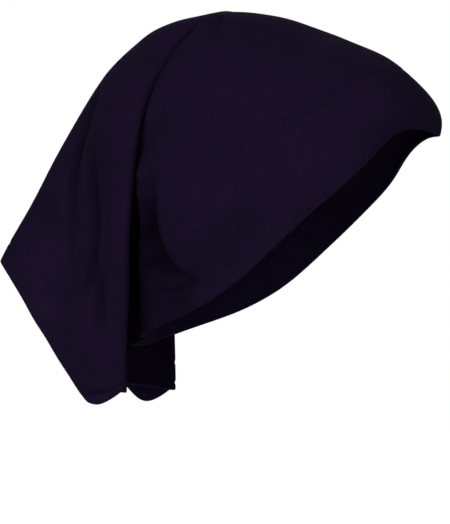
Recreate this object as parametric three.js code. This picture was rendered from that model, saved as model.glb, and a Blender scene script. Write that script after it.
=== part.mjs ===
import * as THREE from "three";

// A tube underscarf cap: one seamless tube of thin stretch jersey, open at both ends.
// The front of the tube hugs the head like a hood, then turns over in one deep fold across
// the back of the crown, and the rest of the tube hangs behind the head as a flap with an
// open lower end. Millimetres: +X is where the wearer faces, +Y the wearer's left, +Z up.
// The origin is the highest point of the inside of the crown, where the cap sits on a head.

// Driving dimensions
const WALL = 1.2; // one layer of jersey
const HEM_WALL = 2.0; // jersey folded double and stitched
const BAND_WIDTH = 45; // the wide turned hem round the face
const BACK_HEM_WIDTH = 14.5; // the turned hem round the open lower end
const SEAM_GAP = 0.3; // clearance left between a hem and the tube
const CROWN_RISE = 1.7; // from the tables' zero to the origin, inside the crown

// How finely the cloth is faceted
const HALF_AROUND = [13, 5, 12]; // outside stretch, turn at the flap's front edge, inside stretch
const BAND_STEPS = 4;
const HOOD_STEPS = 6;
const FOLD_STEPS = 3; // on each side of the fold
const FLAP_STEPS = 12;
const BACK_HEM_STEPS = 2;
const FOLD_REACH = 24; // length of cloth on each side of the fold that is faceted finely
const SLOPE_STEP = 1; // step along the tube over which the cloth's slope is measured

// The hood, one row for each ring from the face edge to the bottom of the fold. A ring leans
// back from its top point to its nape point. half is its half width, square flattens its ends
// below 1, neck narrows it behind the ear, lift, brow and ear bend it up out of its plane in
// the side view, with ear centred at earAt, and split is where the side line crosses it.
const HOOD_COLUMNS = ["topX", "topZ", "napeX", "napeZ", "half", "square", "neck", "lift", "brow",
  "ear", "earAt", "split"];
const HOOD_ROWS = [
  [115.8, -73.2, -58, -187, 75, 0.86, 0.12, 1, 10, -12, 108, 112],
  [114.8, -61, -62, -168, 77, 0.86, 0.1, 1.5, 7, -10, 109, 109],
  [94, -33.2, -68, -146, 77.5, 0.87, 0.06, 2.5, 2, -8, 110, 104],
  [64, -17.6, -73, -126, 71.5, 0.89, 0, 1, 0, -6, 113, 94],
  [36.5, -7.2, -76, -112, 63.8, 0.9, -0.06, 0, 0, -7, 116, 76],
  [14.8, -1.5, -77, -104, 56.9, 0.91, -0.02, 0, 0, -9, 120, 55],
  [0.7, -0.7, -76.5, -101, 53.8, 0.91, -0.03, 0, 0, -9, 122, 43.5],
  [-6, -0.8, -76, -99, 43.7, 0.92, -0.2, 0, 0, -9, 124, 36],
];

// The flap, one row for each ring from the crown to the open lower end. A ring runs from the
// flap's ridge (top) outside to its front edge, turns there with radius roll, and comes back
// inside to the nape line. fin goes from 0, a round section, to 1, a section with a sharp ridge,
// sag drops the outside stretch towards its lower front corner, hug makes the inside stretch
// lie closer to the head below 2, and follow is how far it keeps to the path of the fold.
const FLAP_COLUMNS = ["topX", "topZ", "edgeX", "edgeY", "edgeZ", "napeX", "napeZ", "fin", "sag",
  "roll", "hug", "follow"];
const FLAP_ROWS = [
  [-34, -6.5, -14.7, 38.9, -11.8, -80.5, -101, 0.05, 0, 4, 2, 0.95],
  [-54, -16.8, -25.6, 47.2, -27.7, -84.5, -106, 0.15, 0, 3.3, 2, 0.73],
  [-70, -30.2, -36.3, 56, -48.5, -87.5, -114, 0.3, 0, 3.4, 1.9, 0.33],
  [-82.4, -45.2, -41.3, 61.5, -72, -88.5, -125, 0.45, 0, 3.2, 1.7, 0.2],
  [-92.8, -61.8, -44.3, 64.5, -98, -88.5, -138, 0.6, 0, 3, 1.55, 0],
  [-103.4, -81, -46.6, 65, -125, -86.5, -153, 0.7, 2, 3, 1.45, 0],
  [-114.4, -100.8, -48, 64.5, -153, -82, -171, 0.8, 6, 3, 1.4, 0],
  [-125.4, -120, -48.4, 64, -184, -76, -191, 0.85, 12, 3, 1.4, 0],
  [-136, -138.6, -49, 63, -214, -70, -207, 0.9, 19, 3, 1.4, 0],
];

// Shape constants of one ring, in degrees where they are angles
const BEND_WIDTH = 32;
const BROW_AT = 30;
const BROW_WIDTH = 22;
const NECK_AT = 130;
const NECK_WIDTH = 24;
const SIDE_STRETCH = 12; // length of a hood ring that becomes the flap's turned edge
const SAG_CORNER = 30; // a high power keeps the sag's corner tight
const HALF_LEVEL_SAG = 3; // sag at which the front edge's turn is half way to level
const LEVEL = new THREE.Vector2(1, 0);
const RIDGE_SHARE = 0.13; // part of the flap's width that opens right at its ridge
const FINE = 360; // points along a ring before it is shared out

const row = (columns, values) => Object.fromEntries(columns.map((name, i) => [name, values[i]]));
const degrees = THREE.MathUtils.degToRad;
const range = (count, from, to) =>
  Array.from({ length: count + 1 }, (_, i) => from + ((to - from) * i) / count);

// A bell-shaped bend at angle `at`, mirrored so that it is smooth at the top and the nape
function bell(angle, at, width) {
  const one = (centre) => Math.exp(-(((angle - degrees(centre)) / degrees(width)) ** 2));
  return one(at) + one(-at) + one(360 - at);
}

// Points spaced evenly along a stretch
function spaced(points, count) {
  const arc = [0];
  for (let i = 1; i < points.length; i++) {
    arc.push(arc[i - 1] + points[i].distanceTo(points[i - 1]));
  }
  let i = 0;
  return range(count, 0, arc.at(-1)).map((s) => {
    while (i < arc.length - 2 && s > arc[i + 1]) i++;
    return points[i].clone().lerp(points[i + 1], (s - arc[i]) / (arc[i + 1] - arc[i]));
  });
}

// The three stretches of half a ring, joined, each with its share of the points
function shareStretches(stretches) {
  return stretches.flatMap((points, i) => spaced(points, HALF_AROUND[i]).slice(i > 0 ? 1 : 0));
}

// Right half of a hood ring, from the top to the nape, in its three stretches
function hoodStretches(r) {
  const top = new THREE.Vector2(r.topX, r.topZ);
  const along = new THREE.Vector2(r.napeX, r.napeZ).sub(top);
  const length = along.length();
  along.normalize();
  const up = new THREE.Vector2(along.y, -along.x);
  const points = range(FINE, 0, Math.PI).map((angle) => {
    const bend = r.lift * Math.sin(angle) ** 2 + r.brow * bell(angle, BROW_AT, BROW_WIDTH)
      + r.ear * bell(angle, r.earAt, BEND_WIDTH);
    const narrow = 1 - r.neck * bell(angle, NECK_AT, NECK_WIDTH);
    const width = r.half * Math.max(Math.sin(angle), 0) ** r.square * narrow;
    const side = top.clone().addScaledVector(along, (length * (1 - Math.cos(angle))) / 2);
    side.addScaledVector(up, bend);
    return new THREE.Vector3(side.x, -width, side.y);
  });
  const even = spaced(points, FINE);
  const length3 = even[0].distanceTo(even[1]) * FINE;
  const middle = points[Math.round((r.split / 180) * FINE)];
  const nearest = even.reduce((best, point, i) =>
    (point.distanceTo(middle) < even[best].distanceTo(middle) ? i : best), 0);
  const reach = Math.round(((SIDE_STRETCH / 2) / length3) * FINE);
  return [even.slice(0, nearest - reach + 1), even.slice(nearest - reach, nearest + reach + 1),
    even.slice(nearest + reach)];
}

// Right half of a flap ring: outside stretch, turned front edge, inside stretch. foldPath is
// the inside stretch of the ring at the bottom of the fold.
function flapStretches(r, foldPath) {
  const top = new THREE.Vector2(r.topX, r.topZ);
  const forward = new THREE.Vector2(r.edgeX, r.edgeZ).sub(top);
  const reach = forward.length() - r.roll;
  forward.normalize();
  const down = new THREE.Vector2(forward.y, -forward.x);
  const outside = range(FINE, 0, Math.PI / 2).map((angle) => {
    const w = 1 - Math.cos(angle);
    const sharp = RIDGE_SHARE * Math.sqrt(1 - (1 - w) ** 8)
      + (1 - RIDGE_SHARE) * (w * w * (3 - 2 * w)) ** 0.85;
    const width = r.edgeY * ((1 - r.fin) * Math.sin(angle) + r.fin * sharp);
    const side = top.clone().addScaledVector(forward, w * reach);
    side.addScaledVector(down, r.sag * w * (1 - w ** SAG_CORNER));
    return new THREE.Vector3(side.x, -width, side.y);
  });
  const start = top.clone().addScaledVector(forward, reach);
  const turnWay = forward.clone().lerp(LEVEL, r.sag / (r.sag + HALF_LEVEL_SAG)).normalize();
  const turn = range(FINE, 0, Math.PI).map((angle) => {
    const side = start.clone().addScaledVector(turnWay, Math.sin(angle) * r.roll);
    return new THREE.Vector3(side.x, r.roll * (1 - Math.cos(angle)) - r.edgeY, side.y);
  });
  const inwards = new THREE.Vector2(r.napeX, r.napeZ).sub(start);
  const direct = spaced(range(FINE, 0, Math.PI / 2).map((angle) => {
    const s = Math.sin(angle);
    const width = (r.edgeY - 2 * r.roll) * Math.max(1 - s ** r.hug, 0) ** (1 / r.hug);
    const side = start.clone().addScaledVector(inwards, s);
    return new THREE.Vector3(side.x, -width, side.y);
  }), FINE);
  const first = direct[0].clone().sub(foldPath[0]);
  const last = direct.at(-1).clone().sub(foldPath.at(-1));
  const inside = direct.map((point, i) => {
    const along = foldPath[i].clone().addScaledVector(first, 1 - i / FINE);
    return point.lerp(along.addScaledVector(last, i / FINE), r.follow);
  });
  return [outside, turn, inside];
}

// Second derivatives of the natural cubic spline through values at the given stations
function splineBends(stations, values) {
  const last = values.length - 1;
  const bends = new Array(last + 1).fill(0);
  const slope = (i) => (values[i + 1] - values[i]) / (stations[i + 1] - stations[i]);
  const upper = [0];
  const right = [0];
  for (let i = 1; i < last; i++) {
    const before = stations[i] - stations[i - 1];
    const after = stations[i + 1] - stations[i];
    const pivot = 2 * (before + after) - before * upper[i - 1];
    upper[i] = after / pivot;
    right[i] = (6 * (slope(i) - slope(i - 1)) - before * right[i - 1]) / pivot;
  }
  for (let i = last - 1; i > 0; i--) bends[i] = right[i] - upper[i] * bends[i + 1];
  return bends;
}

function splineValue(stations, values, bends, at) {
  let i = 0;
  while (i < stations.length - 2 && at > stations[i + 1]) i++;
  const h = stations[i + 1] - stations[i];
  const a = (stations[i + 1] - at) / h;
  const b = 1 - a;
  return a * values[i] + b * values[i + 1]
    + (((a ** 3 - a) * bends[i] + (b ** 3 - b) * bends[i + 1]) * h * h) / 6;
}

const FOLD = HOOD_ROWS.length - 1;
const hood = HOOD_ROWS.map((values) => hoodStretches(row(HOOD_COLUMNS, values)));
const foldPath = spaced(hood[FOLD][2], FINE);
const flap = FLAP_ROWS.map((values) => flapStretches(row(FLAP_COLUMNS, values), foldPath));
const RINGS = [...hood, ...flap].map(shareStretches);

// Distance along the tube of each ring, as the mean over its points
const STATIONS = [0];
for (let i = 1; i < RINGS.length; i++) {
  const steps = RINGS[i].map((point, j) => point.distanceTo(RINGS[i - 1][j]));
  STATIONS.push(STATIONS[i - 1] + steps.reduce((sum, step) => sum + step, 0) / steps.length);
}
const TUBE_LENGTH = STATIONS.at(-1);

const LINES = RINGS[0].map((_, j) => ["x", "y", "z"].map((axis) => {
  const values = RINGS.map((ring) => ring[j][axis]);
  return { values, bends: splineBends(STATIONS, values) };
}));

// The whole ring of the cloth's outside face at a distance along the tube
function ringAt(station) {
  const half = LINES.map((line) => new THREE.Vector3(
    ...line.map(({ values, bends }) => splineValue(STATIONS, values, bends, station))));
  half.forEach((point) => point.setZ(point.z + CROWN_RISE));
  const mirrored = half.slice(1, -1).reverse();
  return [...half, ...mirrored.map((point) => new THREE.Vector3(point.x, -point.y, point.z))];
}

// Directions square to the cloth and away from the inside of the tube, round one ring
function outwards(station) {
  const ring = ringAt(station);
  const before = ringAt(Math.max(station - SLOPE_STEP, 0));
  const after = ringAt(Math.min(station + SLOPE_STEP, TUBE_LENGTH));
  return ring.map((_, j) => {
    const across = ring[(j + 1) % ring.length].clone().sub(ring.at(j - 1));
    return after[j].clone().sub(before[j]).cross(across).normalize();
  });
}

// A band of cloth between rings: the outside face, the inside face one wall further in, and
// the two raw edges that close it
function clothGeometry(stations, wall) {
  const rings = stations.map(ringAt);
  const inner = stations.map((station, i) => outwards(station).map((direction, j) =>
    rings[i][j].clone().addScaledVector(direction, -wall)));
  const around = rings[0].length;
  const shift = rings.length * around;
  const at = (i, j) => i * around + (j % around);
  const quad = (a, b, c, d) => [a, c, b, a, d, c];
  const index = [];
  for (let i = 0; i < rings.length - 1; i++) {
    for (let j = 0; j < around; j++) {
      // The right half's squares are split the other way, so that the halves mirror each other
      const corners = [at(i, j), at(i, j + 1), at(i + 1, j + 1), at(i + 1, j)];
      const [a, b, c, d] = j < around / 2 ? [...corners.slice(1), corners[0]] : corners;
      index.push(...quad(a, b, c, d), ...quad(d + shift, c + shift, b + shift, a + shift));
    }
  }
  const end = rings.length - 1;
  for (let j = 0; j < around; j++) {
    const [a, b, c, d] = [at(0, j), at(0, j + 1), at(end, j), at(end, j + 1)];
    index.push(...quad(b, a, a + shift, b + shift), ...quad(c, d, d + shift, c + shift));
  }
  const geometry = new THREE.BufferGeometry().setFromPoints([...rings, ...inner].flat());
  geometry.setIndex(index);
  geometry.computeVertexNormals();
  return geometry;
}

const BAND_END = BAND_WIDTH;
const HEM_START = TUBE_LENGTH - BACK_HEM_WIDTH;
const bandStations = range(BAND_STEPS, 0, BAND_END);
const foldAt = STATIONS[FOLD];
const tubeStations = [
  ...range(HOOD_STEPS, BAND_END + SEAM_GAP, foldAt - FOLD_REACH),
  ...range(2 * FOLD_STEPS, foldAt - FOLD_REACH, foldAt + FOLD_REACH).slice(1),
  ...range(FLAP_STEPS, foldAt + FOLD_REACH, HEM_START - SEAM_GAP).slice(1),
];
const hemStations = range(BACK_HEM_STEPS, HEM_START, TUBE_LENGTH);

function jersey(color) {
  return new THREE.MeshStandardMaterial({ color, roughness: 0.92, metalness: 0 });
}

function cloth(name, stations, wall, color) {
  const mesh = new THREE.Mesh(clothGeometry(stations, wall), jersey(color));
  mesh.name = name;
  return mesh;
}

const cap = new THREE.Group();
cap.add(cloth("front_band", bandStations, HEM_WALL, 0x1a1229));
cap.add(cloth("crown_tube", tubeStations, WALL, 0x181025));
cap.add(cloth("back_hem", hemStations, HEM_WALL, 0x150e20));

export default cap;
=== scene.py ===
# %% [markdown]
# # A tube underscarf cap in fine jersey
# An underscarf cap of this kind is one tube of thin stretch jersey, open at both ends. A wide
# hem goes round the face, the front half of the tube hugs the head, and the rest is laid back
# over itself in one deep fold, so that it hangs behind the head as a flap.
#
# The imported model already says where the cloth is, how big it is and where its hems begin, but
# its faces are coarse and its walls are plain. This lesson dresses it: a fine surface with the
# small folds of real cloth, hems with rounded edges, rows of stitches, and a knitted finish.
#
# The frame is loaded first. Its box is kept, because the finished cloth has to stay inside it.

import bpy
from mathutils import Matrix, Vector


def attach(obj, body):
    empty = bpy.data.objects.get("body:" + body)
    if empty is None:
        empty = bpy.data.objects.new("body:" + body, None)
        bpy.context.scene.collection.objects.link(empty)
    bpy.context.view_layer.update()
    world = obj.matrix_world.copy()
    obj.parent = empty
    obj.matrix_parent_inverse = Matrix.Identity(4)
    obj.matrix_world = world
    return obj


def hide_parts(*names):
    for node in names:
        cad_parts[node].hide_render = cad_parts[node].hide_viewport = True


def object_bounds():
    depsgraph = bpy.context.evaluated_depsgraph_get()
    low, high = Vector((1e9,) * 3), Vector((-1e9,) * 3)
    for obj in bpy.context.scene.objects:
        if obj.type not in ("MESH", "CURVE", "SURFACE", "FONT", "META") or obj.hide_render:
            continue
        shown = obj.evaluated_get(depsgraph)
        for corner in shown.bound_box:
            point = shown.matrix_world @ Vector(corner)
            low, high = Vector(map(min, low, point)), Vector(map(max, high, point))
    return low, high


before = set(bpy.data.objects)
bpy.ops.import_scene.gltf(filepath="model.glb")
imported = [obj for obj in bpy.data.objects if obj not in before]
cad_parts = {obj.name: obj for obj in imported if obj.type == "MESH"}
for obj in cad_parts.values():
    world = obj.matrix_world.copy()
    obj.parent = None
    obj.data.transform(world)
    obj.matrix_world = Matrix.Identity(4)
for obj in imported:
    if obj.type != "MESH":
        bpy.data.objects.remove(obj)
cad_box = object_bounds()
print("frame nodes:", sorted(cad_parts))

import bpy
import numpy as np
from mathutils import Matrix, Vector

MM = 0.001
print("sizes in the tables are in millimetres,", MM, "m each")

# %% [markdown]
# ## The tube as a function of two parameters
# A point of the cloth is named by how far along the tube it lies (`u`, in millimetres, from the
# edge at the face) and by where round the tube it lies (`t`, from 0 at the top of the head or
# the ridge of the flap, to 1 at the nape, for each half of the tube).
#
# It could be sculpted by hand, or pinned on a head and simulated. A tube that is stretched over
# a head has no freedom left, though, and a surface through a few measured rings is exact and
# can be made again. The tables below hold those rings: each row is one ring of cloth, and the
# columns say in plain sizes where its ends lie and how it bends between them.

# %% Rings of the hood
HOOD_COLUMNS = ("topX", "topZ", "napeX", "napeZ", "half", "square", "neck", "lift", "brow",
                "ear", "earAt", "split")
HOOD_ROWS = (
    (115.8, -73.2, -58, -187, 75, 0.86, 0.12, 1, 10, -12, 108, 112),
    (114.8, -61, -62, -168, 77, 0.86, 0.1, 1.5, 7, -10, 109, 109),
    (94, -33.2, -68, -146, 77.5, 0.87, 0.06, 2.5, 2, -8, 110, 104),
    (64, -17.6, -73, -126, 71.5, 0.89, 0, 1, 0, -6, 113, 94),
    (36.5, -7.2, -76, -112, 63.8, 0.9, -0.06, 0, 0, -7, 116, 76),
    (14.8, -1.5, -77, -104, 56.9, 0.91, -0.02, 0, 0, -9, 120, 55),
    (0.7, -0.7, -76.5, -101, 53.8, 0.91, -0.03, 0, 0, -9, 122, 43.5),
    (-6, -0.8, -76, -99, 43.7, 0.92, -0.2, 0, 0, -9, 124, 36),
)
CROWN_RISE = 1.7   # from the tables' zero to the origin, inside the crown
BEND_WIDTH = 32    # degrees of the ring that the bend over the ear takes
BROW_AT, BROW_WIDTH = 30, 22
NECK_AT, NECK_WIDTH = 130, 24
SIDE_STRETCH = 12  # length of a hood ring that becomes the flap's turned front edge
FINE = 1440        # points worked out along a ring before they are shared out


def bell(angle, at, width):
    """A bump exp(-((angle - at) / width) squared), with its mirror images at -at and 360 - at."""
    return sum(np.exp(-((np.degrees(angle) - c) / width) ** 2) for c in (at, -at, 360 - at))


def arc(points):
    """Distance along a line of points, from its first point."""
    steps = np.linalg.norm(np.diff(points, axis=0), axis=1)
    return np.concatenate([[0], np.cumsum(steps)])


def along(points, distances):
    """The points at the given distances along a line of points."""
    here = arc(points)
    return np.stack([np.interp(distances, here, axis) for axis in points.T], axis=-1)


def hood_ring(r):
    """Right half of one ring of the hood, and where its side stretch begins and ends.

    The side view runs from the top point to the nape point as (1 - cos a) / 2, bent square to
    that line by lift, brow and ear. The half width is half * sin(a) ** square, less the neck.
    """
    angle = np.linspace(0, np.pi, FINE + 1)
    top = np.array([r["topX"], r["topZ"]])
    chord = np.array([r["napeX"], r["napeZ"]]) - top
    square_to_chord = np.array([chord[1], -chord[0]]) / np.linalg.norm(chord)
    bend = (r["lift"] * np.sin(angle) ** 2 + r["brow"] * bell(angle, BROW_AT, BROW_WIDTH)
            + r["ear"] * bell(angle, r["earAt"], BEND_WIDTH))
    narrow = 1 - r["neck"] * bell(angle, NECK_AT, NECK_WIDTH)
    width = r["half"] * np.sin(angle).clip(0) ** r["square"] * narrow
    side = top + np.outer((1 - np.cos(angle)) / 2, chord) + np.outer(bend, square_to_chord)
    points = np.stack([side[:, 0], -width, side[:, 1]], axis=-1)
    middle = np.interp(np.radians(r["split"]), angle, arc(points))
    return points, (middle - SIDE_STRETCH / 2, middle + SIDE_STRETCH / 2)


hood = [hood_ring(dict(zip(HOOD_COLUMNS, row))) for row in HOOD_ROWS]
print("face edge of the hood:", round(2 * arc(hood[0][0])[-1]), "mm round")

# %% [markdown]
# ## The rings of the flap
# Past the fold each ring has three stretches: the outside, from the ridge of the flap to its
# front edge; a tight turn there, where the cloth goes back on itself; and the inside, which
# passes behind the head. Where the outside stretch comes near the ridge it closes to a sharp
# one, and towards the open end its lower front corner sags.

# %% Rings of the flap
FLAP_COLUMNS = ("topX", "topZ", "edgeX", "edgeY", "edgeZ", "napeX", "napeZ", "fin", "sag",
                "roll", "hug", "follow")
FLAP_ROWS = (
    (-34, -6.5, -14.7, 38.9, -11.8, -80.5, -101, 0.05, 0, 4, 2, 0.95),
    (-54, -16.8, -25.6, 47.2, -27.7, -84.5, -106, 0.15, 0, 3.3, 2, 0.73),
    (-70, -30.2, -36.3, 56, -48.5, -87.5, -114, 0.3, 0, 3.4, 1.9, 0.33),
    (-82.4, -45.2, -41.3, 61.5, -72, -88.5, -125, 0.45, 0, 3.2, 1.7, 0.2),
    (-92.8, -61.8, -44.3, 64.5, -98, -88.5, -138, 0.6, 0, 3, 1.55, 0),
    (-103.4, -81, -46.6, 65, -125, -86.5, -153, 0.7, 2, 3, 1.45, 0),
    (-114.4, -100.8, -48, 64.5, -153, -82, -171, 0.8, 6, 3, 1.4, 0),
    (-125.4, -120, -48.4, 64, -184, -76, -191, 0.85, 12, 3, 1.4, 0),
    (-136, -138.6, -49, 63, -214, -70, -207, 0.9, 19, 3, 1.4, 0),
)
SAG_CORNER = 30      # a high power keeps the sag's corner tight
HALF_LEVEL_SAG = 3   # sag at which the front edge's turn is half way to level
RIDGE_SHARE = 0.13   # part of the flap's width that opens right at its ridge


def flap_ring(r, fold_path):
    """Right half of one ring of the flap, and where its front turn begins and ends.

    Outside: w = 1 - cos a of the way to the front edge, width mixed by fin from sin a to a
    sharp ridge. Turn: half a circle of radius roll. Inside: a superellipse of power hug back
    to the nape, mixed by follow with the path that the bottom of the fold takes.
    """
    quarter = np.linspace(0, np.pi / 2, FINE + 1)
    top = np.array([r["topX"], r["topZ"]])
    forward = np.array([r["edgeX"], r["edgeZ"]]) - top
    reach = np.linalg.norm(forward) - r["roll"]
    forward /= np.linalg.norm(forward)
    down = np.array([forward[1], -forward[0]])
    w = 1 - np.cos(quarter)
    sharp = (RIDGE_SHARE * np.sqrt(1 - (1 - w) ** 8)
             + (1 - RIDGE_SHARE) * (w * w * (3 - 2 * w)) ** 0.85)
    width = r["edgeY"] * ((1 - r["fin"]) * np.sin(quarter) + r["fin"] * sharp)
    side = top + np.outer(w * reach, forward) + np.outer(r["sag"] * w * (1 - w ** SAG_CORNER), down)
    outside = np.stack([side[:, 0], -width, side[:, 1]], axis=-1)

    start = top + forward * reach
    level = r["sag"] / (r["sag"] + HALF_LEVEL_SAG)
    turn_way = forward * (1 - level) + np.array([1, 0]) * level
    turn_way /= np.linalg.norm(turn_way)
    half = np.linspace(0, np.pi, FINE + 1)
    side = start + np.outer(np.sin(half) * r["roll"], turn_way)
    turn = np.stack([side[:, 0], r["roll"] * (1 - np.cos(half)) - r["edgeY"], side[:, 1]], axis=-1)

    s = np.sin(quarter)
    width = (r["edgeY"] - 2 * r["roll"]) * (1 - s ** r["hug"]).clip(0) ** (1 / r["hug"])
    side = start + np.outer(s, np.array([r["napeX"], r["napeZ"]]) - start)
    direct = np.stack([side[:, 0], -width, side[:, 1]], axis=-1)
    share = np.linspace(0, 1, FINE + 1)[:, None]
    direct = along(direct, share[:, 0] * arc(direct)[-1])
    shift = (1 - share) * (direct[0] - fold_path[0]) + share * (direct[-1] - fold_path[-1])
    inside = direct + r["follow"] * (fold_path + shift - direct)

    border = arc(outside)[-1]
    return np.concatenate([outside, turn[1:], inside[1:]]), (border, border + arc(turn)[-1])


fold_ring, fold_borders = hood[-1]
fold_path = along(fold_ring, np.linspace(fold_borders[1], arc(fold_ring)[-1], FINE + 1))
flap = [flap_ring(dict(zip(FLAP_COLUMNS, row)), fold_path) for row in FLAP_ROWS]
print("open end of the flap:", round(2 * arc(flap[-1][0])[-1]), "mm round")

# %% [markdown]
# ## From rings to a smooth sheet
# Points with the same `t` on every ring belong to one thread line of the cloth. A natural cubic
# spline along each line joins the rings, as a thin wooden batten would. Each ring's points are
# closer together at the side turn, and their spacing is eased there so that no line shows.

# %% Share the rings out and join them
TURN_FROM, TURN_TO = 13 / 30, 18 / 30        # the part of t that the front edge's turn takes
EASE = 0.05                                  # how far in t a change of spacing is spread
STEPS_ROUND = (70, 24, 48)                   # steps before, in and after the turn
T_HALF = np.concatenate([
    np.linspace(0, TURN_FROM, STEPS_ROUND[0] + 1),
    np.linspace(TURN_FROM, TURN_TO, STEPS_ROUND[1] + 1)[1:],
    np.linspace(TURN_TO, 1, STEPS_ROUND[2] + 1)[1:],
])


def share_ring(ring, t):
    """Points of one half ring at each t: distance is linear in t on each stretch, then eased
    by averaging it over a short window, with the ring mirrored past both of its ends."""
    points, (first, second) = ring
    length = arc(points)[-1]
    knots = [-TURN_FROM, 0, TURN_FROM, TURN_TO, 1, 2 - TURN_TO]
    distances = [-first, 0, first, second, length, 2 * length - second]
    window = np.linspace(-EASE, EASE, 15)
    return along(points, np.interp(t[:, None] + window, knots, distances).mean(axis=1))


rings = np.stack([share_ring(ring, T_HALF) for ring in hood + flap])
gaps = np.linalg.norm(np.diff(rings, axis=0), axis=2).mean(axis=1)
ring_at = np.concatenate([[0], np.cumsum(gaps)])
TUBE_LENGTH = ring_at[-1]
FOLD_AT = ring_at[len(hood) - 1]


def spline_bends(at, values):
    """Second derivatives of the natural cubic spline, from its tridiagonal equations."""
    h = np.diff(at)
    slope = np.diff(values, axis=0) / h[:, None]
    inner = np.diag(2 * (h[:-1] + h[1:])) + np.diag(h[1:-1], 1) + np.diag(h[1:-1], -1)
    bends = np.zeros_like(values)
    bends[1:-1] = np.linalg.solve(inner, 6 * np.diff(slope, axis=0))
    return bends


def spline_at(at, values, bends, places):
    """The spline's values a v0 + b v1 + ((a^3 - a) m0 + (b^3 - b) m1) h h / 6 at some places."""
    i = np.clip(np.searchsorted(at, places) - 1, 0, len(at) - 2)
    h = (at[i + 1] - at[i])[:, None]
    a = (at[i + 1] - places)[:, None] / h
    b = 1 - a
    return (a * values[i] + b * values[i + 1]
            + ((a ** 3 - a) * bends[i] + (b ** 3 - b) * bends[i + 1]) * h * h / 6)


ring_values = rings.reshape(len(rings), -1)
ring_bends = spline_bends(ring_at, ring_values)


def smooth_cloth(u):
    """Outside face of the cloth with no small folds, as whole rings at each distance u."""
    u = np.asarray(u, float)
    half = spline_at(ring_at, ring_values, ring_bends, u).reshape(len(u), -1, 3)
    half = half + np.array([0, 0, CROWN_RISE])
    other = half[:, -2:0:-1] * np.array([1, -1, 1])
    return np.concatenate([half, other], axis=1)


def outwards(before, here, after):
    """Unit normals of closed rings: the slope along the tube crossed with the slope round it."""
    round_it = np.roll(here, -1, axis=1) - np.roll(here, 1, axis=1)
    normal = np.cross(after - before, round_it)
    return normal / np.linalg.norm(normal, axis=2, keepdims=True).clip(1e-9)


T_FULL = np.concatenate([T_HALF, T_HALF[-2:0:-1]])
SIDE = np.concatenate([-np.ones(len(T_HALF)), np.ones(len(T_HALF) - 2)])   # -1 right, +1 left
print("tube:", round(TUBE_LENGTH), "mm long, fold at", round(FOLD_AT), "mm")

# %% [markdown]
# ## Hems and drawn lines
# Both ends of the tube are turned in and stitched down: a wide hem at the face and a narrow one
# at the open end. Where they begin is a distance along the tube, as everything else here is.
#
# The small folds that come next lie along lines in the side view. Two helpers are enough for
# them. One lays a smooth line through a few places, and the other finds how far each point of
# the cloth is from a line. A painted height map would do as well, but lines stay sharp at any
# size and can be moved one by one.

# %% Hems
BAND_WIDTH, BACK_HEM_WIDTH = 45, 14.5
HEM_START = TUBE_LENGTH - BACK_HEM_WIDTH
print("hems:", BAND_WIDTH, "mm at the face and", BACK_HEM_WIDTH, "mm at the open end")

# %% Lines drawn on the cloth


def smooth_step(x, low, high):
    """0 below low and 1 above high, with 3 x squared - 2 x cubed between."""
    x = ((x - low) / (high - low)).clip(0, 1)
    return x * x * (3 - 2 * x)


def smooth_line(points, count=40):
    """A natural cubic spline through a few points, given as evenly spaced points."""
    points = np.array(points, float)
    at = arc(points)
    return spline_at(at, points, spline_bends(at, points), np.linspace(0, at[-1], count))


def from_line(x, z, line):
    """Each point's distance from a line (minus on its right hand) and its place 0 to 1 along it."""
    start, step = line[:-1], np.diff(line, axis=0)
    offset = np.stack([x, z], axis=-1)[:, None] - start
    share = ((offset * step).sum(-1) / (step ** 2).sum(-1)).clip(0, 1)
    gap = np.linalg.norm(offset - share[..., None] * step, axis=-1)
    nearest = gap.argmin(axis=1)
    rows = np.arange(len(x))
    cross = (step[nearest, 0] * offset[rows, nearest, 1]
             - step[nearest, 1] * offset[rows, nearest, 0])
    return gap[rows, nearest] * np.sign(cross), (nearest + share[rows, nearest]) / len(step)


print("a line through 3 places has", len(smooth_line(((0, 0), (10, 5), (20, 0)))), "points")
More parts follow.
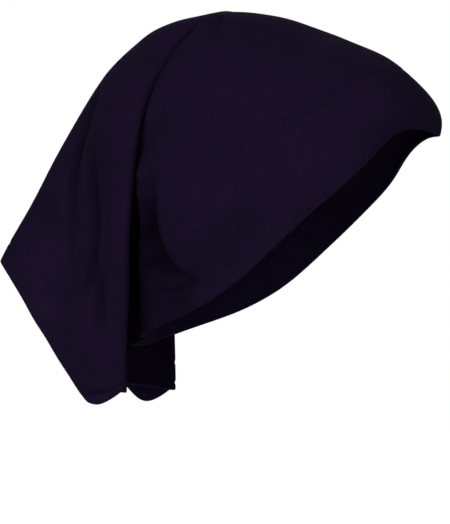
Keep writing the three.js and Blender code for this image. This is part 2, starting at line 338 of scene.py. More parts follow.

# %% [markdown]
# ## Small folds
# Jersey that hangs from a fold falls in long soft pleats, and jersey that is stretched over an
# ear drops into the hollow behind it. Each pleat is a shallow groove or a low ridge, so each is
# a row in a table: the line that it follows in the side view, its width, and how far it goes in
# or out. A hollow has one steep side only.
#
# Cloth as dark as this hides its own relief, and yet its folds show, because the cloth shades
# itself in a groove. So each row has a tone as well, which is painted shade in grooves and
# hollows and painted light on ridges, and some rows have a tone and no depth.

# %% Soft folds as a table
# A line is given by its places (X, Z) in the side view, from its upper end, in millimetres.
# Tone is painted light where it is plus and painted shade where it is minus, on the cloth there.
FOLD_COLUMNS = ("part", "line", "width", "depth", "tone")
FOLD_ROWS = (
    ("flap", ((-69.5, -34), (-75.5, -48), (-79.5, -58.5), (-83.5, -68.5), (-86, -79), (-86.4, -88),
              (-85, -105), (-83.5, -124)), 3.2, -4, -0.42),
    ("flap", ((-78.5, -58), (-82.5, -70), (-84, -82), (-84, -90)), 3, 0, -0.4),
    ("flap", ((-72.5, -67), (-72.2, -81), (-70, -101), (-68, -117), (-68.4, -133.5),
              (-70.5, -144.5), (-75, -153), (-82.5, -161)), 3.2, -4, -0.38),
    ("flap", ((-62.7, -140.5), (-63.8, -153), (-63.1, -165.5), (-63.8, -180)), 3, -2.6, -0.25),
    ("flap", ((-85.5, -116.4), (-84.6, -129.8), (-84, -140.4)), 2.2, -1.4, -0.15),
    ("flap", ((-75, -77.1), (-76.8, -88.3), (-76.3, -105.3), (-75, -124.4)), 3, 1, 0.03),
    ("flap", ((-92.8, -81.8), (-90.8, -104.3), (-90.3, -126.9), (-90.9, -148.7)), 5, 1.2, 0.12),
    ("flap", ((-98, -112), (-104, -136), (-104, -160), (-92, -184)), 14, 0, 0.24),
    ("flap", ((-69.8, -155.4), (-69.8, -170.6), (-68.3, -188)), 3, 1, 0.1),
    ("flap", ((-76, -212), (-64, -210.5), (-46, -203)), 1.3, -0.5, -0.3),
    ("flap", ((-76, -216), (-64, -214), (-46, -206.5)), 1.6, 0.4, 0.35),
    ("flap", ((-56.3, -143.9), (-55.5, -159.9), (-55.8, -182.4)), 3, 0.8, 0.05),
    ("flap", ((-59.6, -56), (-61.4, -78.4), (-58.8, -106.5), (-56.4, -128.3), (-54, -180)), 6, 0.8,
     -0.15),
    ("hood", ((-36.9, -155.2), (-28.6, -155.2), (-20.4, -154.2), (-13.9, -152.5), (-7, -149.2)),
     1.7, -1.1, -0.15),
    ("hood", ((-37, -157.7), (-22.8, -158.6), (-9, -155)), 1.8, 0.7, 0.05),
    ("hood", ((-46, -164), (-30, -166), (-10, -160)), 9, 0, -0.25),
    ("hood", ((30, -112), (16, -126), (-2, -137), (-16, -151)), 12, 0, -0.15),
    ("hood", ((108, -46), (84, -56), (66, -82), (46, -107)), 16, 0, 0.1),
    ("hood", ((-46, -102), (-42, -103.5), (-37, -107)), 1.8, 1.1, 0.1),
    ("hood", ((-38, -104), (-37, -112), (-37.5, -126)), 4.5, -1.4, -0.35),
    ("hood", ((-40, -112), (-39, -124), (-35, -136), (-27, -144), (-19, -147)), 6.5, -2.5, -0.32),
    ("hood", ((-43, -116), (-42, -128), (-40, -138), (-34, -146)), 6, 0, -0.3),
    ("hood", ((-43, -134), (-37, -144), (-26, -151), (-8, -158)), 9, 0, -0.27),
    ("hood", ((-47, -92), (-45, -103), (-44, -112), (-43, -120)), 5, 0, -0.24),
)
# A hollow's cloth goes down behind its line, over the width onset, stays down for the distance
# reach, and comes up again over the width rise.
# A hollow's tone is painted shade, as a fold's is.
HOLLOW_COLUMNS = ("line", "onset", "depth", "reach", "rise", "tone")
HOLLOW_ROWS = (
    (((-27, -88), (-29.5, -102), (-30.8, -116), (-27.7, -129.6), (-21.1, -139.6), (-10.8, -144),
      (-3, -146)), 10, -7, 6, 9, -0.1),
    (((-41.5, -88), (-42.5, -106), (-43.5, -128), (-45, -150), (-47, -178), (-49, -206)), 6, -8, 14,
     12, -0.6),
)
print("folds:", len(FOLD_ROWS), "and hollows:", len(HOLLOW_ROWS))

# %% [markdown]
# ## Rings and waves
# Some of the relief runs round the tube. The two seams are sunk, because the stitches pull them
# tight, and the cloth puckers beside them. The head of the deep fold is pressed together, so it
# is filled to a fine line, and drawn a little towards the face. The hem's front corner has one
# short crease. No cloth is quite even, so slow waves in a few chosen directions go over it all.
#
# The directions come from a random generator with a fixed seed, which gives the same cloth each
# time.

# %% Rings round the tube
# A ring lies at one distance from the face edge, fades in over the first pair of t and fades
# out over the second.
ROUND_COLUMNS = ("at", "width", "height", "starts", "ends")
ROUND_ROWS = (
    (FOLD_AT - 8, 5, 1.2, (0.4, 0.5), (0.74, 0.8)),
    (FOLD_AT - 5, 6, 4.5, (0.42, 0.56), (0.56, 0.7)),
    (FOLD_AT + 8, 6, 3, (0.36, 0.46), (0.48, 0.62)),
    (FOLD_AT + 1, 8, 1.3, (-1, 0), (0.34, 0.46)),
    (FOLD_AT, 7, 3.6, (0.38, 0.58), (0.64, 0.8)),
    (BAND_WIDTH, 0.9, -0.45, (-1, 0), (1, 2)),
    (HEM_START, 0.9, -0.45, (-1, 0), (1, 2)),
    (TUBE_LENGTH - 4, 0.9, -0.5, (0.28, 0.36), (0.5, 0.6)),
)
PUCKER, PUCKER_WAVE, PUCKER_REACH = 0.12, 10, 5      # height, length and reach beside a seam, mm
FOLD_SLIDE, SLIDE_REACH = 9, 16                      # how far the fold's head is drawn, mm
SLIDE_STARTS, SLIDE_ENDS = (0.3, 0.46), (0.5, 0.7)   # the part of t that is drawn
print("rings round the tube:", len(ROUND_ROWS))

# %% Slow waves
RIPPLES = 14
RIPPLE_HEIGHT = 0.16
RIPPLE_LENGTHS = (26, 70)  # shortest and longest wave, mm

waves = np.random.default_rng(7)
wave_way = waves.normal(size=(RIPPLES, 3))
wave_way *= (2 * np.pi / waves.uniform(*RIPPLE_LENGTHS, RIPPLES)
             / np.linalg.norm(wave_way, axis=1))[:, None]
wave_start = waves.uniform(0, 2 * np.pi, RIPPLES)
print("slow waves:", RIPPLES, "of up to", RIPPLE_HEIGHT, "mm each")

# %% [markdown]
# ## Moving the cloth
# All the folds add up to one height and one tone for each point. The cloth is moved by the
# height along its own normal, and the tone, which is painted shade and light, is kept for the dye.
# Sculpting would give the same shape, but this can be worked out again at any fineness. Each fold
# works only on the points in the box of its line, which keeps it quick.
#
# The folds of the flap fade out before its turned edge and those of the hood before the deep
# fold, so that neither shows on the wrong side. The left half has the same folds as the right
# one, moved a little, as no two sides of a worn cap are the same.

# %% Height and tone of the drawn folds
LEFT_SHIFT = (-5, 8)            # in X and Z, mm
# Painted shade on the flap's inside layer, past the fold:
INSIDE_PAINTED_SHADE = -0.5              # the flap's inside layer sees little light
NAPE_KEEPS = (10, 30)           # half widths between which a hollow fades towards the nape
ENDS_FADE = 0.25                # part of a line at each end where its fold fades
RIDGE_KEEPS = 0.08              # part of t beside the flap's ridge with no folds
EDGE_FADE = 0.04                # part of t before the flap's front turn where folds fade
HOOD_ENDS = (-34, -18)          # the hood's folds fade out here, from the deep fold
FLAP_STARTS = (6, 26)           # and the flap's fade in here
BEHIND_NECK = 20                # length along the tube over which the inside gets its tone


def near_line(x, z, line, reach):
    """Which points lie in the box of a line, widened by reach."""
    low, high = line.min(axis=0) - reach, line.max(axis=0) + reach
    return (x > low[0]) & (x < high[0]) & (z > low[1]) & (z < high[1])


def line_ends(along):
    """1 along the middle of a line and 0 at its two ends."""
    return smooth_step(along, 0, ENDS_FADE) * smooth_step(1 - along, 0, ENDS_FADE)


def drawn_folds(u, points):
    """How far the drawn folds take the cloth out (mm), and the tone of painted shade and light
    there.

    Folds are depth * exp(-(d / width) squared), and hollows are
    depth * step(d / onset) * (1 - step((d - reach) / rise)).
    """
    x, y, z = np.moveaxis(points, -1, 0)
    x, z = (value - shift * (SIDE > 0) for value, shift in zip((x, z), LEFT_SHIFT))
    out, tone = np.zeros_like(x), np.zeros_like(x)
    edge_keeps = (smooth_step(T_FULL, 0, RIDGE_KEEPS)
                  * (1 - smooth_step(T_FULL, TURN_FROM - EDGE_FADE, TURN_FROM)))
    hood_side = 1 - smooth_step(u, FOLD_AT + HOOD_ENDS[0], FOLD_AT + HOOD_ENDS[1])
    flap_side = smooth_step(u, FOLD_AT + FLAP_STARTS[0], FOLD_AT + FLAP_STARTS[1])
    part_weight = {
        "flap": flap_side[:, None] * edge_keeps,
        "hood": np.repeat(hood_side[:, None], len(T_FULL), axis=1),
    }
    for values in FOLD_ROWS:
        fold = dict(zip(FOLD_COLUMNS, values))
        line = smooth_line(fold["line"])
        near = near_line(x, z, line, 3 * fold["width"])
        away, along_it = from_line(x[near], z[near], line)
        share = (np.exp(-(away / fold["width"]) ** 2) * line_ends(along_it)
                 * part_weight[fold["part"]][near])
        out[near] += fold["depth"] * share
        tone[near] += fold["tone"] * share
    for values in HOLLOW_ROWS:
        hollow = dict(zip(HOLLOW_COLUMNS, values))
        line = smooth_line(hollow["line"])
        near = near_line(x, z, line, hollow["reach"] + hollow["rise"])
        away, along_it = from_line(x[near], z[near], line)
        share = (smooth_step(-away, 0, hollow["onset"]) * line_ends(along_it)
                 * (1 - smooth_step(-away, hollow["reach"], hollow["reach"] + hollow["rise"]))
                 * (part_weight["hood"] * smooth_step(np.abs(y), *NAPE_KEEPS))[near])
        out[near] += hollow["depth"] * share
        tone[near] += hollow["tone"] * share
    # The flap's inside layer gets painted shade as well, past the deep fold.
    past_fold = smooth_step(u, FOLD_AT, FOLD_AT + BEHIND_NECK)[:, None]
    return out, tone + INSIDE_PAINTED_SHADE * smooth_step(T_FULL, TURN_FROM, TURN_TO) * past_fold


deepest = drawn_folds(ring_at, smooth_cloth(ring_at))[0].min()
print("deepest drawn fold on the rings of the tables:", round(deepest, 1), "mm")

# %% The cloth with its small folds


def small_folds(u, points):
    """The drawn folds, with rings height * exp(-((u - at) / width) squared) and slow sines (mm)."""
    out = np.sin(points @ wave_way.T + wave_start).sum(axis=-1) * RIPPLE_HEIGHT
    for values in ROUND_ROWS:
        r = dict(zip(ROUND_COLUMNS, values))
        share = smooth_step(T_FULL, *r["starts"]) * (1 - smooth_step(T_FULL, *r["ends"]))
        out += r["height"] * np.outer(np.exp(-((u - r["at"]) / r["width"]) ** 2), share)
    steps = np.linalg.norm(points - np.roll(points, 1, axis=1), axis=2)
    waves_round = np.sin(np.cumsum(steps, axis=1) * 2 * np.pi / PUCKER_WAVE)
    for at in (BAND_WIDTH, HEM_START):
        out += PUCKER * np.exp(-np.abs(u - at) / PUCKER_REACH)[:, None] * waves_round
    return out + drawn_folds(u, points)[0]


def slide(u):
    """How far forwards the head of the fold is drawn: a bump along the tube, over a part of t."""
    share = smooth_step(T_FULL, *SLIDE_STARTS) * (1 - smooth_step(T_FULL, *SLIDE_ENDS))
    return FOLD_SLIDE * np.outer(np.exp(-((u - FOLD_AT) / SLIDE_REACH) ** 2), share)


def cloth(u):
    """Outside face of the cloth with its small folds."""
    u = np.asarray(u, float)
    here = smooth_cloth(u)
    before, after = smooth_cloth((u - 1).clip(0)), smooth_cloth((u + 1).clip(None, TUBE_LENGTH))
    out = outwards(before, here, after) * small_folds(u, here)[..., None]
    return here + out + slide(u)[..., None] * np.array([1, 0, 0])


moved = np.abs(cloth([FOLD_AT]) - smooth_cloth([FOLD_AT])).max()
print("largest move at the bottom of the deep fold:", round(moved, 1), "mm")

# %% [markdown]
# ## A wall of cloth
# Cloth has a thickness, and at a hem its edge is rounded because it is folded. The wall is made
# as one closed profile carried round the tube: along the outside face, round one edge in half a
# circle, back along the inside face, and round the other edge. So it is closed by itself and
# needs no cap.

# %% Rings of a wall
EDGE_STEPS = 6


def wall_rings(u, wall):
    """Rings of a closed wall: outside face, rounded edge, inside face, rounded edge.

    On an edge the ring is middle + (cos a * normal + sin a * tangent) * wall / 2.
    """
    here = cloth(u)
    before = cloth((u - 0.5).clip(0))
    after = cloth((u + 0.5).clip(None, TUBE_LENGTH))
    normal = outwards(before, here, after)
    inside = here - normal * wall
    tangent = after - before
    tangent /= np.linalg.norm(tangent, axis=2, keepdims=True)
    turns = np.linspace(0, np.pi, EDGE_STEPS + 1)[1:-1, None, None]

    def edge(end, way):
        """Half a circle of rings round the first or last row, going out one way."""
        middle = here[end] - normal[end] * wall / 2
        step = np.cos(turns) * normal[end] + way * np.sin(turns) * tangent[end]
        return middle + step * wall / 2

    return np.concatenate([here, edge(-1, 1), inside[::-1], edge(0, -1)[::-1]])


print("rings round each edge:", EDGE_STEPS - 1)

# %% Meshes with a UV map and an attribute of painted shade and light
FLAT_WIDTH = 420            # mm round the tube before it is stretched
# Limits of the painted shade and light, as a factor on the dye.
PAINTED_SHADE_LIMITS = (0.3, 1.3)


def add_piece(name, mesh):
    """An object for a mesh, put in the scene at the origin."""
    piece = bpy.data.objects.new(name, mesh)
    bpy.context.scene.collection.objects.link(piece)
    return piece


def ring_mesh(name, rows, uv):
    """A mesh of quads from rows of closed rings, closed in both directions, with a UV map."""
    count, n_round = rows.shape[:2]
    i, j = np.meshgrid(np.arange(count), np.arange(n_round), indexing="ij")
    down, right = (i + 1) % count, (j + 1) % n_round
    quads = np.stack([i * n_round + j, down * n_round + j,
                      down * n_round + right, i * n_round + right], axis=-1).reshape(-1, 4)
    mesh = bpy.data.meshes.new(name)
    mesh.from_pydata((rows * MM).reshape(-1, 3), [], quads)
    mesh.polygons.foreach_set("use_smooth", np.ones(len(quads), bool))
    corners = np.stack([uv[i, j], uv[down, j], uv[down, j + 1], uv[i, j + 1]], axis=2)
    mesh.uv_layers.new(name="cloth").data.foreach_set("uv", corners.astype(np.float32).ravel())
    return add_piece(name, mesh)


def wall_uv(rows, u, wall):
    """UV in metres: round the tube as a share of the flat width, and along it as distance u."""
    closed = np.concatenate([rows, rows[:, :1]], axis=1)
    steps = np.linalg.norm(np.diff(closed, axis=1), axis=2)
    share = np.concatenate([np.zeros((len(rows), 1)), np.cumsum(steps, axis=1)], axis=1)
    share /= share[:, -1:]
    edge = np.linspace(0, wall * np.pi / 2, EDGE_STEPS + 1)[1:-1]
    v = np.concatenate([u, u[-1] + edge, u[::-1], u[0] - edge[::-1]])
    return np.stack([share * FLAT_WIDTH, np.broadcast_to(v[:, None], share.shape)], axis=-1) * MM


def set_painted_shade_and_light(mesh, tone):
    """Painted shade and light as an attribute that multiplies the dye: 1 plus the tone of each
    point.
    """
    painted_shade_and_light = mesh.attributes.new("painted_shade_and_light", "FLOAT", "POINT")
    painted_shade_and_light.data.foreach_set("value", (1 + tone).clip(*PAINTED_SHADE_LIMITS).astype(np.float32).ravel())


def cloth_piece(name, u, wall, node):
    """A wall of cloth between the first and last distance in u, standing for one CAD node."""
    rows = wall_rings(u, wall)
    piece = ring_mesh(name, rows, wall_uv(rows, u, wall))
    # Painted shade and light from the folds, on the outside face of the wall.
    tone = np.zeros(rows.shape[:2])
    tone[:len(u)] = drawn_folds(u, smooth_cloth(u))[1]
    set_painted_shade_and_light(piece.data, tone)
    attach(piece, "root")
    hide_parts(node)
    print(name, "has", 2 * len(piece.data.polygons), "triangles")
    return piece


# %% [markdown]
# ## The three stretches of cloth
# The hems are the same cloth turned double, so they are thicker. The tube has its rings closest
# together where it turns down into the deep fold and comes up again.

# %% Tube and hems
WALL, HEM_WALL = 1.2, 2.0
SEAM = 0.12        # between a hem and the tube, at the bottom of the stitched groove
FOLD_REACH = 24
NEAR_SEAM = np.array([0.3, 0.6, 0.9, 1.3, 1.8, 2.5, 3.5])   # rows on either side of a seam
HEM_EVEN, TUBE_EVEN = 4.5, 5                                # from here on the rows are even
ROWS = {"band": 32, "hood": 30, "fold": 53, "flap": 70, "hem": 20}

u_band = np.concatenate([np.linspace(HEM_WALL / 2, BAND_WIDTH - HEM_EVEN, ROWS["band"]),
                         BAND_WIDTH - NEAR_SEAM[::-1], [BAND_WIDTH]])
u_tube = np.concatenate([
    [BAND_WIDTH + SEAM], BAND_WIDTH + NEAR_SEAM,
    np.linspace(BAND_WIDTH + TUBE_EVEN, FOLD_AT - FOLD_REACH, ROWS["hood"]),
    np.linspace(FOLD_AT - FOLD_REACH, FOLD_AT + FOLD_REACH, ROWS["fold"])[1:],
    np.linspace(FOLD_AT + FOLD_REACH, HEM_START - TUBE_EVEN, ROWS["flap"])[1:],
    HEM_START - NEAR_SEAM[::-1], [HEM_START - SEAM],
])
u_hem = np.concatenate([[HEM_START], HEM_START + NEAR_SEAM,
                        np.linspace(HEM_START + HEM_EVEN, TUBE_LENGTH - HEM_WALL / 2, ROWS["hem"])])

tube_cloth = cloth_piece("tube_cloth", u_tube, WALL, "crown_tube")
band_cloth = cloth_piece("band_cloth", u_band, HEM_WALL, "front_band")
hem_cloth = cloth_piece("hem_cloth", u_hem, HEM_WALL, "back_hem")

# %% [markdown]
# ## Rows of stitches
# The two hems are held by a row of machine stitches each. A stitch is a short length of thread
# that comes up through the cloth, lies on it and goes down again, so it is made as a spindle,
# pulled a little into the cloth. One small shape is worked out and put down all round the ring
# at once.

# %% One stitch
THREAD = 0.46                            # thickness, mm
STITCH_LENGTH, STITCH_PITCH = 2.4, 3.2
THREAD_SIDES, THREAD_RINGS = 6, 5        # a few dozen faces to a stitch


def stitch_shape():
    """Points (along, across, up), twist places and faces of one spindle with its length along.

    Its radius is THREAD / 2 * sin(a) ** 0.6 at the distance -cos(a) * STITCH_LENGTH / 2. The
    first side is underneath, so that the join of the twist is out of sight.
    """
    a = np.linspace(0, np.pi, THREAD_RINGS + 2)[1:-1, None]
    side = np.arange(THREAD_SIDES) * 2 * np.pi / THREAD_SIDES
    radius = THREAD / 2 * np.sin(a) ** 0.6
    far = np.broadcast_to(-np.cos(a) * STITCH_LENGTH / 2, (THREAD_RINGS, THREAD_SIDES))
    body = np.stack([far, radius * np.sin(side), -radius * np.cos(side)], axis=-1).reshape(-1, 3)
    ends = np.array([[-STITCH_LENGTH / 2, 0, 0], [STITCH_LENGTH / 2, 0, 0]])
    points = np.concatenate([body, ends])
    turn = np.tile(np.arange(THREAD_SIDES) / THREAD_SIDES, THREAD_RINGS)
    turn = np.concatenate([turn, [0.5, 0.5]])
    twist = np.stack([points[:, 0] * MM, turn, np.zeros(len(points))], axis=-1)
    i, j = np.meshgrid(np.arange(THREAD_RINGS - 1), np.arange(THREAD_SIDES), indexing="ij")
    k = (j + 1) % THREAD_SIDES
    n = THREAD_SIDES
    quads = np.stack([i * n + j, (i + 1) * n + j, (i + 1) * n + k, i * n + k], axis=-1)
    quads = quads.reshape(-1, 4)
    last = (THREAD_RINGS - 1) * n
    first_end, last_end = np.full(n, len(points) - 2), np.full(n, len(points) - 1)
    triangles = np.concatenate([np.stack([first_end, j[0], k[0]], axis=-1),
                                np.stack([last_end, last + k[0], last + j[0]], axis=-1)])
    return points, twist, quads, triangles


print("faces to a stitch:", len(stitch_shape()[2]) + len(stitch_shape()[3]))

# %% Stitches along a seam


def stitch_row(name, at, sunk):
    """A row of stitches round the tube at one distance, their middles sunk below its face."""
    before, here, after = (cloth([place]) for place in (at - 0.4, at, at + 0.4))
    up = outwards(before, here, after)[0]
    line = here[0] - up * sunk
    line, up = np.concatenate([line, line[:1]]), np.concatenate([up, up[:1]])
    place = arc(line)
    middles = np.arange(int(place[-1] / STITCH_PITCH)) * place[-1] / int(place[-1] / STITCH_PITCH)

    def read(values, distances):
        """Values at some distances round the closed line."""
        return np.stack([np.interp(distances % place[-1], place, axis) for axis in values.T],
                        axis=-1)

    along_it = read(line, middles + STITCH_LENGTH / 2) - read(line, middles - STITCH_LENGTH / 2)
    along_it /= np.linalg.norm(along_it, axis=1, keepdims=True)
    across = np.cross(read(up, middles), along_it)
    across /= np.linalg.norm(across, axis=1, keepdims=True)
    axes = np.stack([along_it, across, np.cross(along_it, across)], axis=1)
    shape, twist, quads, triangles = stitch_shape()
    points = read(line, middles)[:, None] + shape @ axes
    shift = (np.arange(len(middles)) * len(shape))[:, None, None]
    faces = (quads + shift).reshape(-1, 4).tolist() + (triangles + shift).reshape(-1, 3).tolist()
    mesh = bpy.data.meshes.new(name)
    mesh.from_pydata((points * MM).reshape(-1, 3), [], faces)
    mesh.polygons.foreach_set("use_smooth", np.ones(len(faces), bool))
    twists = mesh.attributes.new("thread", "FLOAT_VECTOR", "POINT")
    twists.data.foreach_set("vector", np.tile(twist, (len(middles), 1)).astype(np.float32).ravel())
    # The stitches take the painted shade and light of the cloth under them.
    tone = drawn_folds(np.array([at]), smooth_cloth([at]))[1][0]
    tone = read(np.concatenate([tone, tone[:1]])[:, None], middles)
    set_painted_shade_and_light(mesh, np.broadcast_to(tone, (len(middles), len(shape))))
    piece = add_piece(name, mesh)
    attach(piece, "root")
    print(name, "has", len(middles), "stitches")
    return piece


SUNK = 0.05        # how far the middle of a stitch lies below the cloth's face, mm
band_stitches = stitch_row("band_stitches", BAND_WIDTH + SEAM / 2, SUNK)
hem_stitches = stitch_row("hem_stitches", HEM_START - SEAM / 2, SUNK)

# %% [markdown]
# ## Knitted finish
# Fine jersey is columns of small V-shaped stitches. They are smaller than a millimetre, so they
# are relief in the material. The pattern reads the cloth's own UV map, so its columns run along
# the tube and bend over every fold, as the knit does.

# %% Helpers for materials


def node_group(name, inputs, outputs):
    """An empty shader group with named float or vector sockets."""
    group = bpy.data.node_groups.new(name, "ShaderNodeTree")
    for socket, kind, value in inputs:
        made = group.interface.new_socket(socket, in_out="INPUT", socket_type=kind)
        if value is not None:
            made.default_value = value
    for socket, kind in outputs:
        group.interface.new_socket(socket, in_out="OUTPUT", socket_type=kind)
    return group, group.nodes.new("NodeGroupInput"), group.nodes.new("NodeGroupOutput")


def calc(tree, operation, *values):
    """A Math node on sockets or numbers, giving its output socket."""
    node = tree.nodes.new("ShaderNodeMath")
    node.operation = operation
    for socket, value in zip(node.inputs, values):
        if isinstance(value, (int, float)):
            socket.default_value = value
        else:
            tree.links.new(value, socket)
    return node.outputs[0]


def new_material(name, specular):
    """A material with its node tree and its shader."""
    material = bpy.data.materials.new(name)
    material.use_nodes = True
    shader = material.node_tree.nodes["Principled BSDF"]
    shader.inputs["Specular IOR Level"].default_value = specular
    return material, material.node_tree, shader


def add_relief(tree, shader, height, strength, distance):
    """A Bump node from a height to the shader's normal."""
    relief = tree.nodes.new("ShaderNodeBump")
    relief.inputs["Strength"].default_value = strength
    relief.inputs["Distance"].default_value = distance
    tree.links.new(height, relief.inputs["Height"])
    tree.links.new(relief.outputs["Normal"], shader.inputs["Normal"])


# %% Knit as a shader group


def make_knit():
    """Plain knit: two legs to each column, leaning to each other like a V.

    Across a column, leg = 1 - |4 |x| - 1|; along it, loop = 1 - (2 y - 1) squared, with y moved
    by |x| to make the slant. The height is the root of leg times a mix of 1 and loop.
    """
    group, given, made = node_group(
        "fine_jersey",
        [("Cloth", "NodeSocketVector", None), ("Column", "NodeSocketFloat", 0.0008),
         ("Course", "NodeSocketFloat", 0.0006)],
        [("Height", "NodeSocketFloat")])
    place = group.nodes.new("ShaderNodeSeparateXYZ")
    group.links.new(given.outputs["Cloth"], place.inputs[0])
    column = calc(group, "DIVIDE", place.outputs["X"], given.outputs["Column"])
    off = calc(group, "ABSOLUTE", calc(group, "SUBTRACT", calc(group, "FRACT", column), 0.5))
    bent = calc(group, "ABSOLUTE", calc(group, "SUBTRACT", calc(group, "MULTIPLY", off, 4), 1))
    leg = calc(group, "SUBTRACT", 1, bent)
    course = calc(group, "DIVIDE", place.outputs["Y"], given.outputs["Course"])
    y = calc(group, "FRACT", calc(group, "ADD", course, calc(group, "MULTIPLY", off, 1.4)))
    centred = calc(group, "SUBTRACT", calc(group, "MULTIPLY", y, 2), 1)
    loop = calc(group, "SUBTRACT", 1, calc(group, "MULTIPLY", centred, centred))
    mixed = calc(group, "ADD", calc(group, "MULTIPLY", loop, 0.55), 0.45)
    rounded = calc(group, "POWER", calc(group, "MAXIMUM", leg, 0), 0.5)
    height = calc(group, "MULTIPLY", rounded, mixed)
    group.links.new(height, made.inputs["Height"])
    return group


knit = make_knit()
print("knit group:", len(knit.nodes), "nodes")

# %% [markdown]
# ## Dyed cotton jersey
# The dye is a plum so dark that it reads as black, and the cloth is matt, with no gloss to show
# its form. Even so it isn't one flat colour: the yarn is thicker here and thinner there, the dye
# takes unevenly, and the hollows between stitches have painted shade. So the colour lies between
# a dark and a lighter plum by the sum of these, and is multiplied by the attribute that each
# piece carries, where the painted shade and light of the folds are.
#
# One function makes all three jerseys. The hems are the same cloth turned double, and only the
# dyes differ, by a trace.

# %% Sizes and shares of the jersey's parts
COLUMNS_ROUND = 525                   # knit columns round the tube, 0.8 mm each
COURSE = 0.00062                      # metres of tube to one row of the knit
PATCHES, PATCH_SHARE = 35, 0.5        # uneven dye: noise to a metre, and its share of the colour
GRAIN, GRAIN_SHARE = 620, 1.4         # thick and thin yarn
# The knit's share of the colour is painted shade between its stitches.
KNIT_PAINTED_SHADE, SHADE_ZERO = 0.5, 0.5
GRAIN_RELIEF, GRAIN_GLOSS = 0.8, -0.2
RELIEF_STRENGTH, RELIEF_HEIGHT = 0.5, 0.00025
print("knit column:", round(FLAT_WIDTH / COLUMNS_ROUND, 2), "mm wide, row:", COURSE / MM, "mm")

# %% Noise and worn dye


def noise(tree, place, scale, detail):
    """Soft noise from 0 to 1 round a middle of 0.5."""
    node = tree.nodes.new("ShaderNodeTexNoise")
    node.inputs["Scale"].default_value = scale
    node.inputs["Detail"].default_value = detail
    tree.links.new(place, node.inputs["Vector"])
    return node.outputs["Fac"]


def dye_with_painted_shade(tree, dark, light, share):
    """A colour between two, by share, times the mesh's attribute of painted shade and light."""
    dye = tree.nodes.new("ShaderNodeMix")
    dye.data_type = "RGBA"
    dye.inputs["A"].default_value = (*dark, 1)
    dye.inputs["B"].default_value = (*light, 1)
    tree.links.new(share, dye.inputs["Factor"])
    painted_shade_and_light = tree.nodes.new("ShaderNodeAttribute")
    painted_shade_and_light.attribute_name = "painted_shade_and_light"
    colour = tree.nodes.new("ShaderNodeVectorMath")
    colour.operation = "SCALE"
    tree.links.new(dye.outputs["Result"], colour.inputs[0])
    tree.links.new(painted_shade_and_light.outputs["Fac"], colour.inputs["Scale"])
    return colour.outputs[0]


# %% Jersey material


def jersey(name, dark, light):
    """Jersey dyed between two colours (linear RGB), with the knit's relief."""
    material, tree, shader = new_material(name, 0.01)
    cloth_map = tree.nodes.new("ShaderNodeUVMap")
    cloth_map.uv_map = "cloth"
    stitches = tree.nodes.new("ShaderNodeGroup")
    stitches.node_tree = knit
    stitches.inputs["Column"].default_value = FLAT_WIDTH * MM / COLUMNS_ROUND
    stitches.inputs["Course"].default_value = COURSE
    tree.links.new(cloth_map.outputs[0], stitches.inputs["Cloth"])

    where = tree.nodes.new("ShaderNodeTexCoord")
    patches = noise(tree, where.outputs["Object"], PATCHES, 5)
    grain = noise(tree, where.outputs["Object"], GRAIN, 2)
    # Painted shade where the knit is low, plus the dye's patches and the yarn's grain.
    knit_shade_and_uneven_dye = calc(tree, "MULTIPLY", stitches.outputs["Height"], KNIT_PAINTED_SHADE)
    knit_shade_and_uneven_dye = calc(tree, "MULTIPLY_ADD", patches, PATCH_SHARE, knit_shade_and_uneven_dye)
    knit_shade_and_uneven_dye = calc(tree, "MULTIPLY_ADD", grain, GRAIN_SHARE, knit_shade_and_uneven_dye)
    knit_shade_and_uneven_dye = calc(tree, "SUBTRACT", knit_shade_and_uneven_dye, SHADE_ZERO)
    tree.links.new(dye_with_painted_shade(tree, dark, light, knit_shade_and_uneven_dye), shader.inputs["Base Color"])
    tree.links.new(calc(tree, "MULTIPLY_ADD", grain, GRAIN_GLOSS, 1), shader.inputs["Roughness"])

    height = calc(tree, "MULTIPLY_ADD", grain, GRAIN_RELIEF, stitches.outputs["Height"])
    add_relief(tree, shader, height, RELIEF_STRENGTH, RELIEF_HEIGHT)
    return material


tube_jersey = jersey("jersey_of_tube", (0.0042, 0.0023, 0.0082), (0.0094, 0.0051, 0.0184))
band_jersey = jersey("jersey_of_band", (0.0043, 0.0024, 0.0084), (0.0096, 0.0052, 0.0188))
hem_jersey = jersey("jersey_of_hem", (0.0042, 0.0023, 0.0082), (0.0094, 0.0051, 0.0184))
print("jerseys:", ", ".join(m.name for m in (tube_jersey, band_jersey, hem_jersey)))

# %% [markdown]
# ## Sewing thread
# The thread is two plies twisted round each other, a shade lighter than the cloth and less matt.
# The twist could be modelled, but a stitch is under half a millimetre thick, so stripes that
# wind along it are enough. They read an attribute that holds the distance along the stitch and
# the turn round it, and they give relief and colour together, the colour as painted shade
# between the plies.

# %% Thread material
TWIST = 0.0007    # metres of thread to one turn of its plies
PLY_STRENGTH, PLY_HEIGHT = 0.6, 0.0001


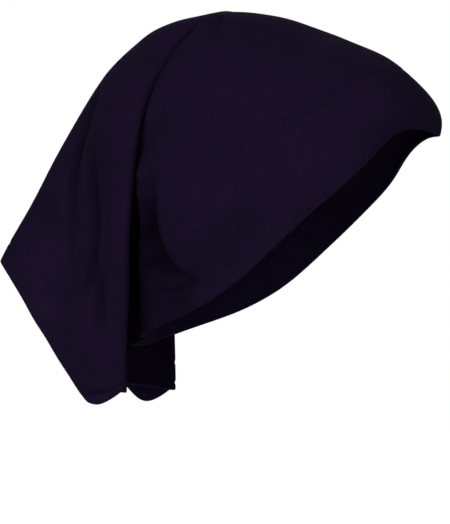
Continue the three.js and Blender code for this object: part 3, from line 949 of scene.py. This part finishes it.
def thread(name, dark, light):
    """Two twisted plies: stripes sin(2 pi (along / twist + turn * 2)), as relief and as colour."""
    material, tree, shader = new_material(name, 0.03)
    place = tree.nodes.new("ShaderNodeAttribute")
    place.attribute_name = "thread"
    parts = tree.nodes.new("ShaderNodeSeparateXYZ")
    tree.links.new(place.outputs["Vector"], parts.inputs[0])
    turns = calc(tree, "ADD", calc(tree, "DIVIDE", parts.outputs["X"], TWIST),
                 calc(tree, "MULTIPLY", parts.outputs["Y"], 2))
    stripe = calc(tree, "SINE", calc(tree, "MULTIPLY", turns, 2 * np.pi))
    stripe = calc(tree, "MULTIPLY_ADD", stripe, 0.5, 0.5)
    # Painted shade: the thread is darker where the stripes are low, between its plies.
    tree.links.new(dye_with_painted_shade(tree, dark, light, stripe), shader.inputs["Base Color"])
    tree.links.new(calc(tree, "MULTIPLY_ADD", stripe, -0.2, 0.8), shader.inputs["Roughness"])
    add_relief(tree, shader, stripe, PLY_STRENGTH, PLY_HEIGHT)
    return material


thread_finish = thread("plum_thread", (0.0045, 0.0025, 0.009), (0.013, 0.0075, 0.025))
print("thread:", THREAD, "mm thick, one turn in", TWIST / MM, "mm")

# %% [markdown]
# ## Finishes on the pieces
# Each piece gets its material, and the table lists beside it the slot that it fills. The tube
# was cut flat and is held stretched by the head, so it covers more than it did on the cutting
# table.

# %% Finishes
FINISHES = (("tube_jersey", tube_cloth, tube_jersey), ("band_jersey", band_cloth, band_jersey),
            ("hem_jersey", hem_cloth, hem_jersey), ("band_jersey", band_stitches, thread_finish),
            ("hem_jersey", hem_stitches, thread_finish))
for slot, piece, finish in FINISHES:
    piece.data.materials.append(finish)

# %% [markdown]
# ## Camera
# The cap hangs in the air in the form that it has when worn. The camera stands a little in front
# of square to its right side, and a hair below it. The image is 450 by 524 pixels, and 0.56 mm of
# the cap fills one pixel. The camera is aimed by saying in which pixel the cap's origin falls.

# %% Camera
IMAGE_WIDTH, IMAGE_HEIGHT = 450, 524
PIXEL = 0.56 * MM
CAMERA_AZIMUTH, CAMERA_ELEVATION = np.radians(11), np.radians(-2)
CAMERA_DISTANCE = 1.5
ORIGIN_PIXEL = (236, 15.4)   # where the cap's origin falls in the image

back = np.array([np.sin(CAMERA_AZIMUTH) * np.cos(CAMERA_ELEVATION),
                 -np.cos(CAMERA_AZIMUTH) * np.cos(CAMERA_ELEVATION),
                 np.sin(CAMERA_ELEVATION)])
right = np.array([np.cos(CAMERA_AZIMUTH), np.sin(CAMERA_AZIMUTH), 0])
up = np.cross(back, right)
aim = (right * (IMAGE_WIDTH / 2 - ORIGIN_PIXEL[0])
       + up * (ORIGIN_PIXEL[1] - IMAGE_HEIGHT / 2)) * PIXEL

camera_data = bpy.data.cameras.new("camera")
camera_data.sensor_fit = "AUTO"
camera_data.sensor_width = 36
camera_data.lens = camera_data.sensor_width * CAMERA_DISTANCE / (IMAGE_HEIGHT * PIXEL)
camera = bpy.data.objects.new("camera", camera_data)
camera.matrix_world = Matrix([(*row, place) for row, place in
                              zip(np.stack([right, up, back], axis=1), aim + back * CAMERA_DISTANCE)]
                            + [(0, 0, 0, 1)])
bpy.context.scene.collection.objects.link(camera)
bpy.context.scene.camera = camera
print("camera lens:", round(camera_data.lens, 1), "mm")

# %% [markdown]
# ## Floor and light
# Cloth that is nearly black needs a broad soft light from above and in front to show its folds, a
# weak one from the side of the face, and one behind, so that the back isn't lost. The floor and
# the background are pale and plain. They are bright for the camera alone, which keeps them near
# white with little of their light on the cloth.

# %% Floor
FLOOR_BELOW = 0.34
FLOOR_RADIUS = 12.0


def pale(name, colour, glow):
    """A pale matt finish that glows for the camera alone, so that it stays near white."""
    material, tree, shader = new_material(name, 0.1)
    shader.inputs["Base Color"].default_value = (*colour, 1)
    shader.inputs["Roughness"].default_value = 0.9
    shader.inputs["Emission Color"].default_value = (1, 1, 1, 1)
    seen_by = tree.nodes.new("ShaderNodeLightPath")
    tree.links.new(calc(tree, "MULTIPLY", seen_by.outputs["Is Camera Ray"], glow),
                   shader.inputs["Emission Strength"])
    return material


def floor_disc(radius, height, count=96):
    """A flat round floor: one ring of points and a middle point."""
    angle = np.linspace(0, 2 * np.pi, count, endpoint=False)
    edge = np.stack([np.cos(angle) * radius, np.sin(angle) * radius, np.full(count, height)],
                    axis=1)
    points = np.concatenate([edge, [[0, 0, height]]])
    around = np.arange(count)
    faces = np.stack([around, np.roll(around, -1), np.full(count, count)], axis=1)
    mesh = bpy.data.meshes.new("floor")
    mesh.from_pydata(points, [], faces)
    return add_piece("floor", mesh)


floor = floor_disc(FLOOR_RADIUS, cad_box[0][2] - FLOOR_BELOW)
floor.data.materials.append(pale("pale_floor", (0.86, 0.86, 0.86), 0.75))
print("floor:", FLOOR_BELOW, "m below the cap")

# %% Lights
LIGHT_COLUMNS = ("place", "size", "power")
LIGHTS = {
    "key": ((-0.55, -1.75, 1.05), 1.1, 30),
    "fill": ((0.9, -1.9, 0.1), 1.4, 9),
    "behind": ((-0.3, 1.7, 1.0), 1.4, 9),
}
LIGHT_AIM = Vector((-0.01, 0, -0.1))
for name, row in LIGHTS.items():
    light = dict(zip(LIGHT_COLUMNS, row))
    data = bpy.data.lights.new(name, "AREA")
    data.size = light["size"]
    data.energy = light["power"]
    lamp = bpy.data.objects.new(name, data)
    lamp.location = light["place"]
    lamp.rotation_euler = (LIGHT_AIM - lamp.location).to_track_quat("-Z", "Y").to_euler()
    bpy.context.scene.collection.objects.link(lamp)
print("lights:", ", ".join(LIGHTS))

# %% Background
WORLD_LIGHT = 0.36
world = bpy.data.worlds.new("studio")
bpy.context.scene.world = world
world.use_nodes = True
nodes, links = world.node_tree.nodes, world.node_tree.links
seen, lit = nodes["Background"], nodes.new("ShaderNodeBackground")
for node, strength in ((seen, 1.0), (lit, WORLD_LIGHT)):
    node.inputs["Color"].default_value = (1, 1, 1, 1)
    node.inputs["Strength"].default_value = strength
chosen = nodes.new("ShaderNodeMixShader")
links.new(nodes.new("ShaderNodeLightPath").outputs["Is Camera Ray"], chosen.inputs[0])
links.new(lit.outputs[0], chosen.inputs[1])
links.new(seen.outputs[0], chosen.inputs[2])
links.new(chosen.outputs[0], nodes["World Output"].inputs["Surface"])
bpy.context.scene.view_settings.view_transform = "Standard"
print("light from the background:", WORLD_LIGHT)
